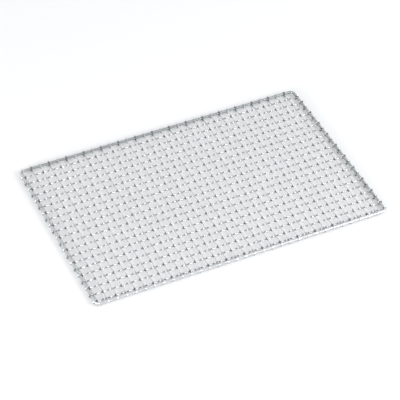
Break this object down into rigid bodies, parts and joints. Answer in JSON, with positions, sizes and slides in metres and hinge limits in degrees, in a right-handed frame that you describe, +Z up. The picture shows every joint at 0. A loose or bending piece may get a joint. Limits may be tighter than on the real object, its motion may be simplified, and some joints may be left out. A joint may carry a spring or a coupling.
{
  "type": "wire grill net",
  "caption": "Flat rectangular grill net for a hibachi: crimped steel wires woven over and under each other, their ends wrapped round a thicker rim wire.",
  "frame": {"origin": "middle of the net's footprint, on the surface that it lies on", "axes": "+X along the long side, to the right; +Y from the front long side to the back one; +Z up, out of the cooking side"},
  "size_m": [0.303, 0.203, 0.0051],
  "materials": {
    "rim_steel": "drawn steel wire with a thin bright coating, greyer and duller than the mesh wires",
    "long_wire_steel": "bright drawn steel wire, satin with small sharp highlights",
    "short_wire_steel": "bright drawn steel wire, satin with small sharp highlights"
  },
  "bodies": {
    "root": {"rim_wire": "rim_steel", "long_wire_01": "long_wire_steel", "long_wire_02": "long_wire_steel", "long_wire_03": "long_wire_steel", "long_wire_04": "long_wire_steel", "long_wire_05": "long_wire_steel", "long_wire_06": "long_wire_steel", "long_wire_07": "long_wire_steel", "long_wire_08": "long_wire_steel", "long_wire_09": "long_wire_steel", "long_wire_10": "long_wire_steel", "long_wire_11": "long_wire_steel", "long_wire_12": "long_wire_steel", "long_wire_13": "long_wire_steel", "long_wire_14": "long_wire_steel", "long_wire_15": "long_wire_steel", "long_wire_16": "long_wire_steel", "long_wire_17": "long_wire_steel", "long_wire_18": "long_wire_steel", "long_wire_19": "long_wire_steel", "long_wire_20": "long_wire_steel", "long_wire_21": "long_wire_steel", "short_wire_01": "short_wire_steel", "short_wire_02": "short_wire_steel", "short_wire_03": "short_wire_steel", "short_wire_04": "short_wire_steel", "short_wire_05": "short_wire_steel", "short_wire_06": "short_wire_steel", "short_wire_07": "short_wire_steel", "short_wire_08": "short_wire_steel", "short_wire_09": "short_wire_steel", "short_wire_10": "short_wire_steel", "short_wire_11": "short_wire_steel", "short_wire_12": "short_wire_steel", "short_wire_13": "short_wire_steel", "short_wire_14": "short_wire_steel", "short_wire_15": "short_wire_steel", "short_wire_16": "short_wire_steel", "short_wire_17": "short_wire_steel", "short_wire_18": "short_wire_steel", "short_wire_19": "short_wire_steel", "short_wire_20": "short_wire_steel", "short_wire_21": "short_wire_steel", "short_wire_22": "short_wire_steel", "short_wire_23": "short_wire_steel", "short_wire_24": "short_wire_steel", "short_wire_25": "short_wire_steel", "short_wire_26": "short_wire_steel", "short_wire_27": "short_wire_steel", "short_wire_28": "short_wire_steel", "short_wire_29": "short_wire_steel", "short_wire_30": "short_wire_steel", "short_wire_31": "short_wire_steel", "short_wire_32": "short_wire_steel"}
  },
  "joints": []
}
